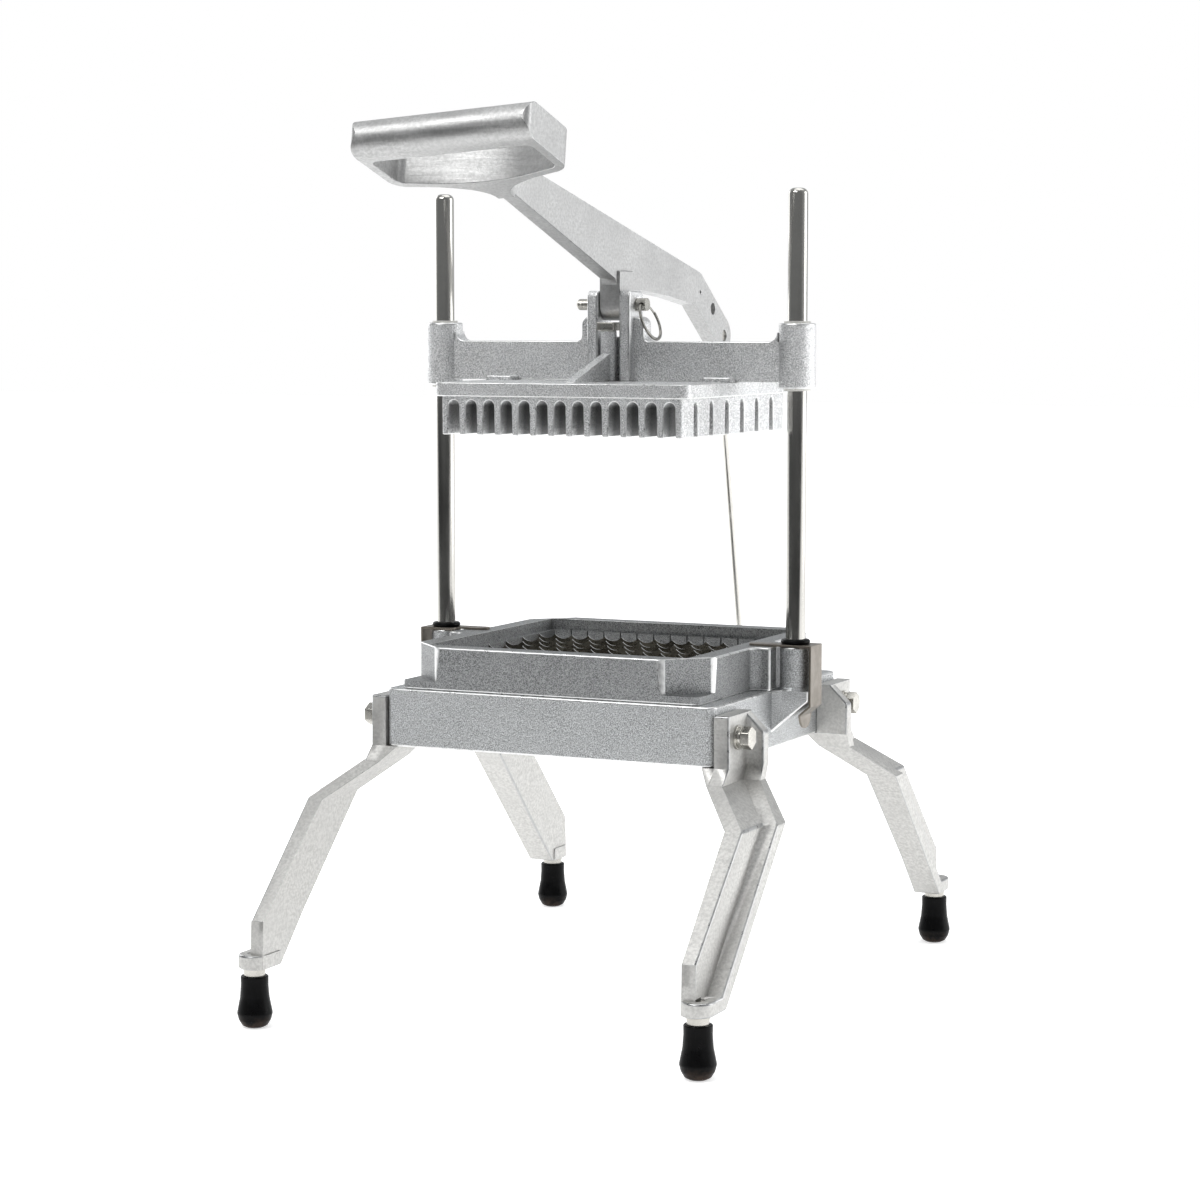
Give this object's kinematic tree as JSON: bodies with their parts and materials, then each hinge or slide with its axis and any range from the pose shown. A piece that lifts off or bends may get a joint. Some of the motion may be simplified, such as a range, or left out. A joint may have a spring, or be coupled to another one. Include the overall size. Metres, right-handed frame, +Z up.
{
  "type": "lettuce cutter",
  "caption": "Hand-operated lettuce cutter: a lever presses a block of fingers down two guide rods and through a scalloped blade grid in a cast frame on splayed legs.",
  "frame": {"origin": "on the worktop under the centre between the two guide rods", "axes": "+X to the operator's right, +Y to the back, +Z up; the operator stands on the -Y side"},
  "size_m": [0.3264, 0.4977, 0.5694],
  "materials": {
    "cast_aluminium": "sand-cast, grainy, with rubbed edges",
    "smooth_cast_aluminium": "tumbled casting with sanding marks",
    "plated_steel": "warm bright plating",
    "black_rubber": "matt, scuffed at the bottom",
    "polished_steel": "polished",
    "clip_steel": "brownish plated sheet",
    "blade_steel": "ground strip",
    "white_plastic": "natural white bearing plastic",
    "nickel_plate": "nickel plate"
  },
  "bodies": {
    "frame": {"base_frame": "cast_aluminium", "leg_front_right": "smooth_cast_aluminium", "leg_front_left": "smooth_cast_aluminium", "leg_rear_right": "smooth_cast_aluminium", "leg_rear_left": "smooth_cast_aluminium", "leg_bolts": "plated_steel", "leg_washers": "plated_steel", "foot_studs": "plated_steel", "foot_front_right": "black_rubber", "foot_front_left": "black_rubber", "foot_rear_right": "black_rubber", "foot_rear_left": "black_rubber", "guide_rod_right": "polished_steel", "guide_rod_left": "polished_steel", "stop_ring_right": "black_rubber", "stop_ring_left": "black_rubber", "clip_right": "clip_steel", "clip_left": "clip_steel", "blade_holder": "cast_aluminium", "cross_blades": "blade_steel", "length_blades": "blade_steel", "rear_bracket": "cast_aluminium", "bracket_screws": "plated_steel"},
    "pusher": {"pusher_head": "cast_aluminium", "push_block": "cast_aluminium", "head_bolt": "plated_steel", "bush_right": "white_plastic", "bush_left": "white_plastic"},
    "handle": {"handle": "smooth_cast_aluminium", "link_pin_top": "plated_steel"},
    "link": {"link": "polished_steel", "link_pin_low": "plated_steel", "link_retainer": "plated_steel"},
    "release_pin": {"release_pin": "nickel_plate"},
    "key_ring": {"key_ring": "nickel_plate"}
  },
  "joints": [
    {"name": "press", "type": "slide", "parent": "frame", "child": "pusher", "axis": [0, 0, -1], "range_m": [0, 0.1595]},
    {"name": "lever", "type": "hinge", "parent": "pusher", "child": "handle", "pos_m": [0, 0, 0.4535], "axis": [1, 0, 0], "range_deg": [0, 52.48]},
    {"name": "link_swing", "type": "hinge", "parent": "handle", "child": "link", "pos_m": [0, 0.171, 0.432], "axis": [1, 0, 0], "range_deg": [-40.6, 0]},
    {"name": "pin_pull", "type": "slide", "parent": "pusher", "child": "release_pin", "axis": [1, 0, 0], "range_m": [0, 0.044]},
    {"name": "ring_swing", "type": "hinge", "parent": "release_pin", "child": "key_ring", "pos_m": [0.02, 0, 0.4535], "axis": [0, 1, 0], "range_deg": [-120, 2]}
  ],
  "couplings": [
    {"joint": "lever", "follows": "press", "rad_per_m": 5.7419},
    {"joint": "link_swing", "follows": "press", "rad_per_m": -4.4419}
  ]
}
